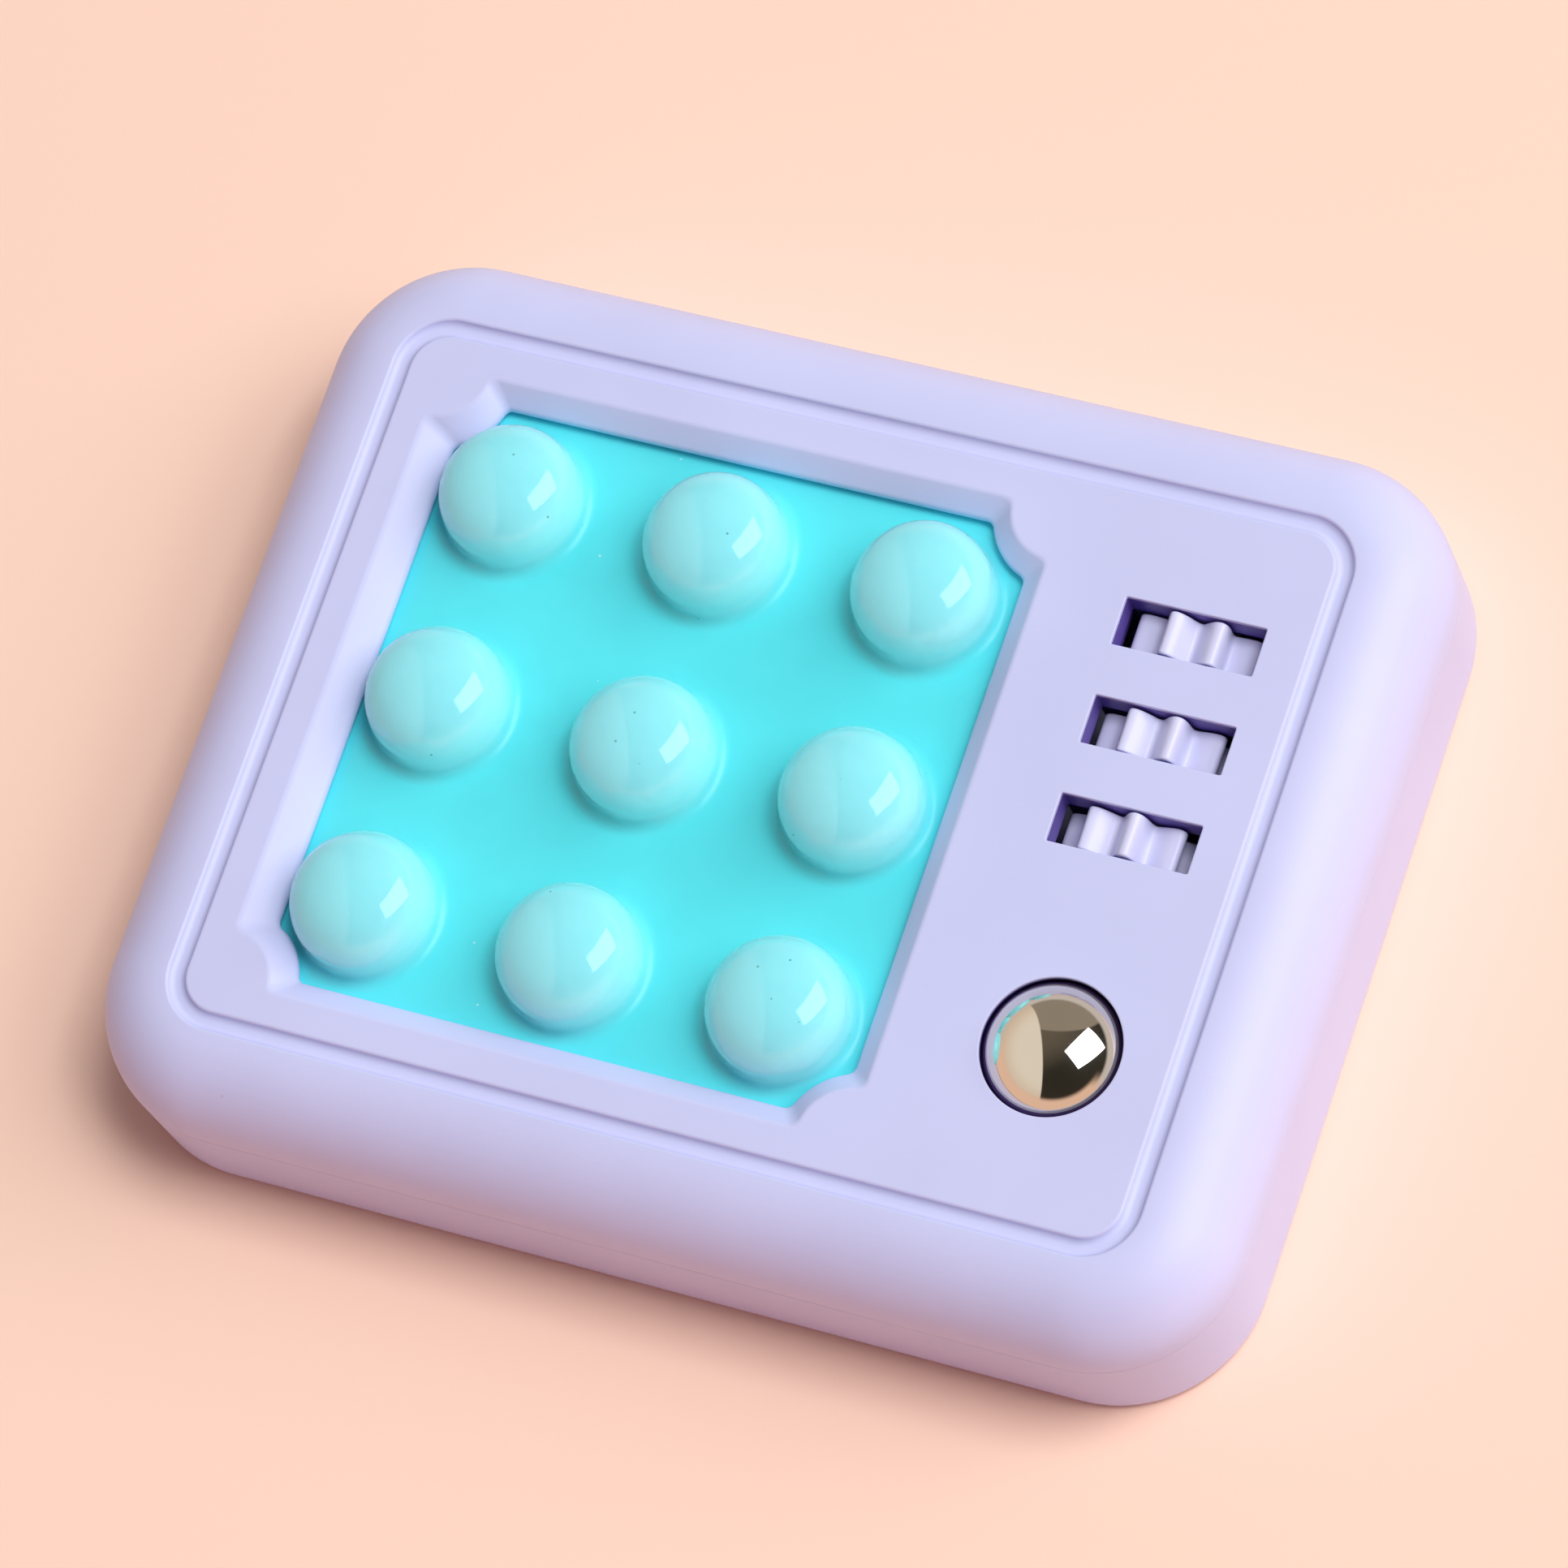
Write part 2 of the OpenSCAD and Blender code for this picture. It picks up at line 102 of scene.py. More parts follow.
# Directions from the pad to parts of the room
TO_CORNER = (-0.5, 0.5, 0.7)
TO_BACK = (-0.22, 0.91, 0.35)
TO_LEFT = (-0.92, -0.32, 0.23)
TO_FRONT = (-0.1, -0.99, 0.0)

# Light levels of the room as polished steel mirrors it
DARK_WALL = (0.035, 0.03, 0.02)
DIM_WALL = (0.15, 0.12, 0.085)
BACK_WALL = (0.34, 0.28, 0.21)
CREAM_LOW = (0.80, 0.61, 0.45)
CREAM_HIGH = (0.93, 0.82, 0.68)
SKIRTING = (0.70, 0.62, 0.56)
PAPER_SWEEP = (0.95, 0.62, 0.44)

# Light levels of the room as it lights the pad, low down and from above
BACK_BOUNCE = (0.9, 0.87, 0.86)
FRONT_BOUNCE = (7.6, 3.2, 3.9)
BACK_CEILING = (1.2, 1.22, 1.25)
FRONT_CEILING = (0.5, 0.34, 0.32)


def middle(node):
    """Centre of a CAD node's box."""
    low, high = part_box(node)
    return (low + high) / 2


def length(name, text, mm):
    """A size in metres, given in millimetres."""
    return FloatProperty(
        name=name, description=text, default=mm * MM, min=0.0, precision=5, unit="LENGTH")


def amount(name, text, default):
    """A plain number that isn't below zero."""
    return FloatProperty(name=name, description=text, default=default, min=0.0)


def direction(name, text, default):
    """A direction, of any length."""
    return FloatVectorProperty(
        name=name, description=text, default=default, size=3, subtype="DIRECTION")


def point(name, text, default):
    """A place in metres."""
    return FloatVectorProperty(
        name=name, description=text, default=default, size=3, precision=5,
        subtype="XYZ", unit="LENGTH")


def colour(name, text, red, green, blue):
    """A colour, given as it looks on a screen."""
    return FloatVectorProperty(
        name=name, description=text, default=tuple(linear(c) for c in (red, green, blue)),
        size=3, min=0.0, max=1.0, subtype="COLOR")


def linear(level):
    """Screen level of 0 to 255 as a light level."""
    level /= 255
    return level / 12.92 if level <= 0.04045 else ((level + 0.055) / 1.055) ** 2.4


# Settings

class PadSizes(bpy.types.PropertyGroup):
    """Sizes of the modelled pieces."""
    face_width: length("Face width", "Width of the face inside the groove", 80)
    face_depth: length("Face depth", "Depth of the face inside the groove", 60)
    face_corner: length("Face corner", "Corner radius of the face", 3.2)
    groove_width: length("Groove width", "Width of the groove around the face", 1.35)
    groove_depth: length("Groove depth", "Depth of the groove around the face", 0.6)
    groove_fillet: length("Groove fillet", "Hollow rounding at the sides of the groove", 0.6)
    groove_soft: length("Groove edge", "Rounding of the edges of the groove", 0.3)
    panel_back: length("Panel back", "Height of the back of the face panel", 14.4)
    rim_width: length("Rim width", "Width of the rim around the groove", 7.15)
    rim_round: length("Rim rounding", "Rounding from the rim to the side of the case", 7)
    shell_wall: length("Shell wall", "Wall thickness of the front shell", 2)
    shell_soft: length("Shell edge", "Chamfer of the shell's lower inner edge", 0.1)
    ledge_low: length("Ledge underside", "Height of the ledge's underside", 12.8)
    ledge_reach: length("Ledge reach", "How far the ledge runs in under the panel", 2)
    ledge_root: length("Ledge root", "Where the ledge leaves the shell, out from the groove", 1.6)
    panel_play: length("Panel play", "Gap between the panel and its ledge", 0.03)
    panel_step: length("Panel step", "Step of the panel under the shell's inner edge", 0.02)
    edge_strip: length("Edge strip", "Narrow flat strip beside a rounded edge", 0.08)
    parting_height: length("Parting height", "Height of the line between shell and cover", 9.5)
    parting_line: length("Parting line", "Chamfer of the shell at the parting line", 0.07)
    window_half: length("Window half width", "Half the width of the window at the face", 27.15)
    window_margin: length("Window margin", "Width of the face left of the window", 2.85)
    window_lean: FloatProperty(
        name="Window lean", description="How much further the left wall slopes than the others",
        default=0.5, min=0.0, subtype="FACTOR")
    window_run: length("Window slope", "How far the window's walls slope inwards", 3.2)
    window_soft: length("Window edge", "Rounding of the window's upper edge", 0.7)
    window_lip: length("Window lip", "Rounding of the window's lower edge", 0.7)
    window_gap: length("Window gap", "Height of the window's lower edge over the sheet", 0.12)
    window_under: length("Window undercut", "How far the gap over the sheet runs back", 0.8)
    tab_radius: length("Tab radius", "Radius of the round tabs in the window's corners", 4.3)
    tab_blend: length("Tab blend", "Rounding where a tab meets the window's walls", 0.9)
    slot_length: length("Slot length", "Length of a wheel slot", 11.8)
    slot_width: length("Slot width", "Width of a wheel slot", 4.1)
    slot_corner: length("Slot corner", "Corner radius of a wheel slot", 0.15)
    slot_soft: length("Slot edge", "Rounding of the edges of the slots and the ball's hole", 0.12)
    # The liners in the slots and the ball's hole are painted shade: dark pieces that stand in for
    # the shadow inside these openings.
    slot_lip: length("Slot lip", "Height of the edge over a slot's liner", 0.4)
    slot_shade_liner: length("Slot liner", "Wall of the liner in a wheel slot", 0.4)
    ball_hole: length("Ball hole", "Radius of the ball's hole in the face", 5.7)
    ball_play: length("Ball play", "Room around the ball in its hole", 0.15)
    hole_lip: length("Hole lip", "Height of the edge over the liner of the ball's hole", 0.3)
    hole_shade_liner: length("Hole liner", "Wall of the liner in the ball's hole", 1.1)
    shade_liner_play: length("Liner play", "Gap between a liner and the panel", 0.02)
    collar_radius: length("Collar radius", "Outer radius of the collar behind the ball's hole", 8.8)
    collar_wall: length("Collar wall", "Wall of the collar behind the ball's hole", 1)
    collar_height: length("Collar height", "Height of the collar behind the ball's hole", 4)
    collar_soft: length("Collar edge", "Chamfer of the collar's edges", 0.3)
    sheet_width: length("Sheet width", "Width of the silicone sheet", 56)
    sheet_thickness: length("Sheet thickness", "Thickness of the silicone sheet", 1.2)
    sheet_corner: length("Sheet corner", "Corner radius of the silicone sheet", 2)
    sheet_soft: length("Sheet edge", "Chamfer of the sheet's edges", 0.3)
    bubble_radius: length("Bubble radius", "Radius of a bubble seen from above", 5.8)
    bubble_cap: length("Bubble cap", "Radius of the wide cap of a bubble", 8.8)
    bubble_shoulder: length("Bubble shoulder", "Radius of the shoulder around the cap", 4)
    bubble_base: length("Bubble base", "Height of the straight part of a bubble", 2.08)
    bubble_foot: length("Bubble foot", "Fillet between a bubble and the sheet", 1.1)
    bubble_sink: length("Bubble sink", "Depth of the fillet's thin edge in the sheet", 0.06)
    bubble_play: length("Bubble play", "Gap around a bubble in the sheet's opening", 0.03)
    wheel_radius: length("Wheel radius", "Radius of a thumb wheel over its teeth", 6)
    tooth_depth: length("Tooth depth", "Depth of the waves around a thumb wheel", 1.8)
    wheel_width: length("Wheel width", "Width of a thumb wheel", 3.7)
    wheel_soft: length("Wheel edge", "Rounding of the edges of a thumb wheel", 0.22)
    wheel_strip: length("Wheel strip", "Flat strip beside a thumb wheel's rounded edge", 0.06)
    hub_radius: length("Hub radius", "Radius of a thumb wheel's hub", 2.4)
    hub_width: length("Hub width", "Width of a thumb wheel over its hub", 6.05)
    hub_soft: length("Hub edge", "Chamfer of the hub's edges", 0.2)
    axle_hole: length("Axle hole", "Radius of the hole in a thumb wheel", 1.05)
    wheel_teeth: IntProperty(
        name="Wheel teeth", description="Waves around a thumb wheel", default=9, min=3)
    wheel_turn: FloatVectorProperty(
        name="Wheel turn", description="How far each thumb wheel stands turned",
        default=(radians(-2), radians(7), radians(14.5)), size=3, subtype="EULER")
    screw_head: length("Screw head", "Radius of a case screw's head", 2.1)
    screw_seat: length("Screw seat", "Height of a case screw's head", 1.5)
    screw_soft: length("Screw edge", "Rounding of a case screw's head", 0.5)
    screw_shank: length("Screw shank", "Radius of a case screw's shank", 1.1)
    screw_tip: length("Screw tip", "Length of the taper at a screw's tip", 0.8)
    screw_point: length("Screw point", "Radius of a screw's blunt tip", 0.3)
    screw_cross: length("Screw cross", "Length of the cross recess in a screw's head", 2.5)
    screw_arm: length("Screw arm", "Half the width of the cross recess", 0.3)
    screw_deep: length("Screw recess", "Depth of the cross recess", 0.9)
    screw_taper: FloatProperty(
        name="Screw taper", description="Size of the cross recess at its bottom",
        default=0.8, min=0.0, subtype="FACTOR")


class PadColours(bpy.types.PropertyGroup):
    """Colours of the finishes."""
    case: colour("Case", "Moulded plastic of the case and the face", 203, 206, 244)
    wheel: colour("Wheel", "Glossier and paler plastic of the thumb wheels", 213, 214, 246)
    sheet: colour("Sheet", "Silicone of the window's floor", 87, 227, 237)
    bubble: colour("Bubble", "Silicone of the bubbles, which is thinner and paler", 139, 233, 242)
    # The paler side colour is a painted highlight, standing in for reflection at a grazing view and
    # for light carried into the shaded side.
    side: colour("Bubble side", "Silicone at the sides of the bubbles", 156, 248, 252)
    steel: colour("Steel", "Polished steel of the ball", 226, 222, 216)
    screw: colour("Screw", "Plated steel of the screws and the axle", 168, 168, 172)
    # The inner plastic also colours the liners, which are painted shade in the slots and the ball's
    # hole.
    inner: colour("Inner plastic", "Moulded plastic of the inner parts", 104, 84, 172)
    floor: colour("Floor", "Paper under the pad", 255, 218, 198)


class PadStage(bpy.types.PropertyGroup):
    """Camera and studio light."""
    aim: point("Aim", "Point that the camera looks at", (0.00256, -0.00034, 0.017))
    eye: point("Eye", "Where the camera stands", (0.21413, -0.17706, 0.60548))
    roll: FloatProperty(
        name="Roll", description="Turn of the camera about its own view", default=radians(-33.59),
        subtype="ANGLE")
    lens: amount("Lens", "Focal length in millimetres on a 36 mm frame", 189.51)
    key_from: direction("Key direction", "From the pad to the softbox", (0.68, 0.27, 0.68))
    key_along: direction("Key lean", "Along the softbox's longer side", (0.25, 0.81, -0.47))
    key_distance: length("Key distance", "Distance of both lights", 2000)
    key_long: length("Key length", "Longer side of the softbox", 1940)
    key_short: length("Key breadth", "Shorter side of the softbox", 1220)
    key_power: amount("Key power", "Power of the softbox in watts", 25.0)
    top_from: direction("Top direction", "From the pad to the top light", (0.34, 0.2, 0.92))
    top_side: length("Top side", "Side of the square top light", 800)
    top_power: amount("Top power", "Power of the top light in watts", 20.4)
    ambient: amount("Ambient", "Strength of the light from all around", 0.24)


# Outlines and meshes

def arc(centre, radius, start, end, steps):
    """Points on an arc, angles in degrees."""
    turns = [radians(start + (end - start) * i / steps) for i in range(steps + 1)]
    return [(centre[0] + radius * cos(t), centre[1] + radius * sin(t)) for t in turns]


def circle_outline(centre, radius, steps):
    """Closed circle that starts on its right."""
    return arc(centre, radius, 0, 360 - 360 / steps, steps - 1)


def rounded_outline(centre, width, depth, radius, steps=24):
    """Closed rounded rectangle, anticlockwise."""
    x, y = width / 2 - radius, depth / 2 - radius
    points = []
    for turn, (sx, sy) in enumerate(((1, 1), (-1, 1), (-1, -1), (1, -1))):
        corner = (centre[0] + sx * x, centre[1] + sy * y)
        points += arc(corner, radius, 90 * turn, 90 * turn + 90, steps)
    return points


def face_outline(sizes, grow):
    """Outline of the face, grown outwards."""
    return rounded_outline((0, 0), sizes.face_width + 2 * grow, sizes.face_depth + 2 * grow,
                           sizes.face_corner + grow)


def slot_outline(sizes, centre, grow):
    """Outline of a wheel slot, grown outwards."""
    return rounded_outline(centre, sizes.slot_length + 2 * grow, sizes.slot_width + 2 * grow,
                           sizes.slot_corner + grow, steps=6)


def hole_outline(sizes, centre, grow):
    """Outline of the ball's hole, grown outwards."""
    return circle_outline(centre, sizes.ball_hole + grow, HOLE_STEPS)


def groove_turn(sizes):
    """Steepest slope of the groove's sides, in degrees."""
    return degrees(acos(1 - sizes.groove_depth / (sizes.groove_soft + sizes.groove_fillet)))


def window_outline(sizes, grow):
    """Outline of the window with a round tab in each corner, grown outwards."""
    centre = sizes.window_half
    tab = sizes.tab_radius - grow
    blend = sizes.tab_blend
    near = centre + grow - blend
    far = centre - sqrt((tab + blend) ** 2 - (centre - near) ** 2)
    turn = degrees(atan2(centre - far, centre - near))
    corner = arc((near, far), blend, 0, turn, steps=6)
    corner += arc((centre, centre), tab, 180 + turn, 270 - turn, steps=28)[1:-1]
    corner += arc((far, near), blend, 90 - turn, 90, steps=6)
    shift = sizes.window_margin + sizes.window_half - sizes.face_width / 2
    lean = sizes.window_lean * max(0.0, -grow)
    points = []
    for c, d in QUARTERS:
        for x, y in corner:
            across, along = c * x - d * y, d * x + c * y
            share = min(1.0, max(0.0, (-across - far) / (near - far)))
            points.append((shift + across + lean * share, along))
    return points


class Skin:
    """Points and faces of one modelled piece."""

    def __init__(self):
        self.points = []
        self.faces = []

    def ring(self, outline, height):
        """Adds a level outline and returns its points."""
        return self.loop([(x, y, height) for x, y in outline])

    def loop(self, points):
        """Adds a closed loop and returns its points."""
        first = len(self.points)
        self.points += points
        return list(range(first, len(self.points)))

    def walls(self, loops, closed=False):
        """Joins each loop to the next one."""
        pairs = list(zip(loops, loops[1:])) + ([(loops[-1], loops[0])] if closed else [])
        for one, other in pairs:
            count = len(one)
            for i in range(count):
                j = (i + 1) % count
                self.faces.append((one[i], one[j], other[j], other[i]))
        return loops

    def sweep(self, outline, section, closed=False):
        """Joins outlines that follow a section of (grow, height) pairs."""
        return self.walls([self.ring(outline(grow), height) for grow, height in section], closed)

    def fill(self, outer, *holes):
        """Fills a flat area with holes."""
        order = [i for loop in (outer, *holes) for i in loop]
        flat = [[Vector(self.points[i]) for i in loop] for loop in (outer, *holes)]
        self.faces += [tuple(order[i] for i in corner) for corner in tessellate_polygon(flat)]

    def cap(self, walls):
        """Fills the top and the bottom of walls, the first of which goes around the others."""
        self.fill(*(loops[0] for loops in walls))
        self.fill(*(loops[-1] for loops in walls))

    def revolve(self, axis, section, steps):
        """Turns a section of (radius, height) pairs about an upright axis."""
        loops = []
        for radius, height in section:
            if radius < ON_AXIS:
                loops.append(self.loop([(axis[0], axis[1], height)]))
            else:
                loops.append(self.ring(circle_outline(axis, radius, steps), height))
        for one, other in zip(loops, loops[1:]):
            if len(one) > 1 and len(other) > 1:
                self.walls([one, other])
            else:
                tip, rim = (one[0], other) if len(one) == 1 else (other[0], one)
                self.faces += [(tip, rim[i], rim[(i + 1) % steps]) for i in range(steps)]
        return loops

    def piece(self, name, material, body, slot, *nodes):
        """Makes the object, which rides on a body and stands for CAD nodes."""
        mesh = bpy.data.meshes.new(name)
        mesh.from_pydata(self.points, [], self.faces)
        shape = bmesh.new()
        shape.from_mesh(mesh)
        bmesh.ops.recalc_face_normals(shape, faces=shape.faces)
        shape.to_mesh(mesh)
        shape.free()
        mesh.shade_smooth()
        mesh.set_sharp_from_angle(angle=SHARP_ANGLE)
        mesh.materials.append(material)
        made = bpy.data.objects.new(name, mesh)
        bpy.context.scene.collection.objects.link(made)
        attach(made, body)
        if nodes:
            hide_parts(*nodes)
        return made


# Finishes

class Level:
    """A socket's value in plain arithmetic: each operation adds its Math node."""

    def __init__(self, finish, socket):
        self.finish = finish
        self.socket = socket

    def math(self, operation, one, other):
        """Adds a Math node."""
        return self.finish.node("ShaderNodeMath", {"operation": operation}, {0: one, 1: other})

    def __add__(self, other):
        return self.math("ADD", self, other)

    def __radd__(self, other):
        return self.math("ADD", other, self)

    def __sub__(self, other):
        return self.math("SUBTRACT", self, other)

    def __rsub__(self, other):
        return self.math("SUBTRACT", other, self)

    def __mul__(self, other):
        return self.math("MULTIPLY", self, other)

    def __rmul__(self, other):
        return self.math("MULTIPLY", other, self)

    def __lt__(self, other):
        return self.math("LESS_THAN", self, other)


class Finish:
    """Node tree of one material or of the world."""

    def __init__(self, owner):
        self.owner = owner
        owner.use_nodes = True
        self.tree = owner.node_tree
        self.tree.nodes.clear()

    def node(self, kind, settings=None, sockets=None, out=0):
        """Adds a node, sets it up, then feeds its sockets."""
        node = self.tree.nodes.new(kind)
        for key, value in (settings or {}).items():
            setattr(node, key, value)
        for key, value in (sockets or {}).items():
            if isinstance(value, Level):
                self.tree.links.new(value.socket, node.inputs[key])
            else:
                node.inputs[key].default_value = value
        return Level(self, node.outputs[out]) if node.outputs else None

    def mix(self, share, one, other):
        """Blends two colours, which a Mix node takes at inputs 6 and 7 and gives at output 2."""
        one, other = (c if isinstance(c, Level) else (*c, 1) for c in (one, other))
        return self.node("ShaderNodeMix", {"data_type": "RGBA"}, {0: share, 6: one, 7: other}, 2)

    def noise(self, where, scale, detail):
        """Cloudy noise, scale in patches for each metre."""
        return self.node("ShaderNodeTexNoise", None,
                         {"Vector": where, "Scale": scale, "Detail": detail})

    def place(self):
        """Place on the pad, in metres."""
        return self.node("ShaderNodeTexCoord", out="Object")

    def rise(self):
        """Height on the piece, from 0 at its foot to 1 at its top."""
        place = self.node("ShaderNodeTexCoord", out="Generated")
        return self.node("ShaderNodeSeparateXYZ", None, {0: place}, "Z")

    def smooth(self, value, low, high):
        """Runs softly from 0 to 1 between two levels."""
        return self.node("ShaderNodeMapRange", {"interpolation_type": "SMOOTHSTEP"},
                         {"Value": value, "From Min": low, "From Max": high})

    def specks(self, where, scale, size, share):
        """Sparse dust: small round marks in some cells."""
        nearest, cells = {"feature": "F1"}, {"Vector": where, "Scale": scale}
        near = self.node("ShaderNodeTexVoronoi", nearest, cells, "Distance")
        cell = self.node("ShaderNodeTexVoronoi", nearest, cells, "Position")
        pick = self.node("ShaderNodeTexWhiteNoise", {"noise_dimensions": "3D"},
                         {"Vector": cell}, "Value")
        return (near < size) * (pick < share)

    def bump(self, height, strength, depth):
        """Small relief for the Normal socket."""
        return self.node("ShaderNodeBump", None,
                         {"Strength": strength, "Distance": depth, "Height": height})

    def shader(self, **sockets):
        """The main shader, its sockets fed by name."""
        named = {key.replace("_", " "): value for key, value in sockets.items()}
        return self.node("ShaderNodeBsdfPrincipled", {"subsurface_method": "BURLEY"}, named)

    def close(self, shader):
        """Ends the tree in a shader."""
        self.node("ShaderNodeOutputMaterial", None, {"Surface": shader})
        return self.owner

    def surface(self, **sockets):
        """Ends the tree in the main shader."""
        return self.close(self.shader(**sockets))


def shade(tint, factor):
    """The same colour, lighter or darker."""
    return tuple(min(1.0, c * factor) for c in tint)


def satin_plastic(name, tint, rough=0.36):
    """Moulded satin plastic: faint flow clouds and a fine spark-eroded grain."""
    finish = Finish(bpy.data.materials.new(name))
    where = finish.place()
    cloud = finish.noise(where, scale=60.0, detail=3.0)
    grain = finish.noise(where, scale=2400.0, detail=1.0)
    tone = finish.mix(finish.smooth(cloud, 0.3, 0.7), shade(tint, 0.975), shade(tint, 1.015))
    dust = finish.specks(where, scale=130.0, size=0.016, share=0.1)
    return finish.surface(
        Base_Color=finish.mix(dust * 0.35, tone, shade(tint, 0.45)),
        Roughness=rough + cloud * 0.06 + grain * 0.06,
        Normal=finish.bump(grain, strength=0.15, depth=0.04 * MM))


def thick_silicone(finish, tint):
    """Shader of the sheet, which the feet of the bubbles share."""
    where = finish.place()
    cloud = finish.noise(where, scale=90.0, detail=3.0)
    grain = finish.noise(where, scale=1800.0, detail=2.0)
    tone = finish.mix(finish.smooth(cloud, 0.3, 0.7), shade(tint, 0.95), shade(tint, 1.03))
    dust = finish.specks(where, scale=300.0, size=0.03, share=0.9)
    return finish.shader(
        Base_Color=finish.mix(dust * 0.5, tone, PALE_DUST),
        Roughness=0.24 + cloud * 0.08 + grain * 0.05,
        Normal=finish.bump(grain, strength=0.08, depth=0.04 * MM))


def silicone_sheet(name, tint):
    """Soft silicone of the window's floor."""
    finish = Finish(bpy.data.materials.new(name))
    return finish.close(thick_silicone(finish, tint))


def silicone_bubble(name, tint, side, foot):
    """Thin milky silicone that runs into the sheet at its foot. Its sides are painted paler than
    its top, a painted highlight that stands in for reflection at a grazing view and for light
    carried into the shaded side.
    """
    finish = Finish(bpy.data.materials.new(name))
    where = finish.place()
    cloud = finish.noise(where, scale=110.0, detail=3.0)
    grain = finish.noise(where, scale=1800.0, detail=2.0)
    rise = finish.rise() + (cloud - 0.5) * 0.08
    # Painted highlight: the sides are paler than the top, standing in for reflection at a grazing
    # view and for light carried into the shaded side.
    tone = finish.mix(finish.smooth(rise, 0.55, 0.95), side, tint)
    dust = finish.specks(where, scale=400.0, size=0.042, share=0.6)
    skin = finish.shader(
        Base_Color=finish.mix(dust * 0.6, tone, DARK_DUST),
        Roughness=0.03 + cloud * 0.03 + grain * 0.02,
        Normal=finish.bump(grain, strength=0.05, depth=0.03 * MM),
        Specular_IOR_Level=0.75,
        Subsurface_Weight=1.0,
        Subsurface_Radius=(0.8, 1.0, 1.0),
        Subsurface_Scale=0.008)
    share = finish.smooth(rise, 0.13, 0.36)
    root = thick_silicone(finish, foot)
    return finish.close(finish.node("ShaderNodeMixShader", None, {0: share, 1: root, 2: skin}))


def polished_steel(name, tint):
    """Mirror-polished steel with faint rub marks."""
    finish = Finish(bpy.data.materials.new(name))
    where = finish.place()
    cloud = finish.noise(where, scale=420.0, detail=4.0)
    rub = finish.noise(where, scale=3200.0, detail=2.0)
    return finish.surface(
        Base_Color=finish.mix(cloud * 0.5, shade(tint, 0.94), tint),
        Metallic=1.0,
        Roughness=0.03 + finish.smooth(rub, 0.55, 0.8) * 0.05,
        Coat_Weight=0.35,
        Coat_Roughness=0.32)


def plated_steel(name, tint):
    """Dull plated steel of small screws and pins."""
    finish = Finish(bpy.data.materials.new(name))
    where = finish.place()
    cloud = finish.noise(where, scale=700.0, detail=4.0)
    return finish.surface(
        Base_Color=finish.mix(cloud, shade(tint, 0.75), tint),
        Metallic=1.0,
        Roughness=0.24 + cloud * 0.16)


# Pieces

def settings(context):
    """Sizes and colours that the user set."""
    return context.scene.pad_sizes, context.scene.pad_colours


def finish_named(name, maker, *tints, **more):
    """A finish that is made once and shared."""
    return bpy.data.materials.get(name) or maker(name, *(tuple(t) for t in tints), **more)


def dress(node, material):
    """Gives a CAD node its finish."""
    slots = frame["nodes"][node].data.materials
    slots.clear()
    slots.append(material)


class PAD_OT_front_shell(bpy.types.Operator):
    """Rounded front half of the case, with the outer edge of the groove"""
    bl_idname = "pad.front_shell"
    bl_label = "Front Shell"

    def rim(self, s):
        """Section over the rim, down the side, up the inner wall and along the ledge."""
        edge, soft = s.groove_width, s.groove_soft
        hub = (edge + s.rim_width - s.rim_round, FACE_TOP - s.rim_round)
        across = edge + soft - hub[0]
        lean = degrees(atan2(sqrt(s.rim_round ** 2 - across ** 2), across))
        section = arc((edge + soft, FACE_TOP - soft), soft,
                      90 + groove_turn(s), RIM_EDGE_END, steps=7)
        section += arc(hub, s.rim_round, lean, 0, steps=34)
        side, low = section[-1][0], s.parting_height
        inside = side - s.shell_wall
        section += [(side, low + s.parting_line), (side - s.parting_line, low)]
        section += [(inside + s.shell_soft, low), (inside, low + s.shell_soft)]
        section += arc(hub, s.rim_round - s.shell_wall, 0, INNER_WALL_END, steps=12)
        tip, ledge = edge - s.ledge_reach, s.panel_back - s.panel_play
        section += [(edge + s.ledge_root, s.ledge_low), (tip, s.ledge_low)]
        return section + [(tip, ledge), (edge, ledge)]

    def execute(self, context):
        s, tints = settings(context)
        skin = Skin()
        skin.sweep(lambda grow: face_outline(s, grow), self.rim(s), closed=True)
        plastic = finish_named("case_satin", satin_plastic, tints.case)
        skin.piece("front_shell_moulding", plastic, "case", "case_plastic", "front_shell")
        return {"FINISHED"}


class PAD_OT_back_cover(bpy.types.Operator):
    """Back half of the case, in the same plastic"""
    bl_idname = "pad.back_cover"
    bl_label = "Back Cover"

    def execute(self, context):
        plastic = finish_named("case_satin", satin_plastic, context.scene.pad_colours.case)
        dress("back_cover", plastic)
        return {"FINISHED"}


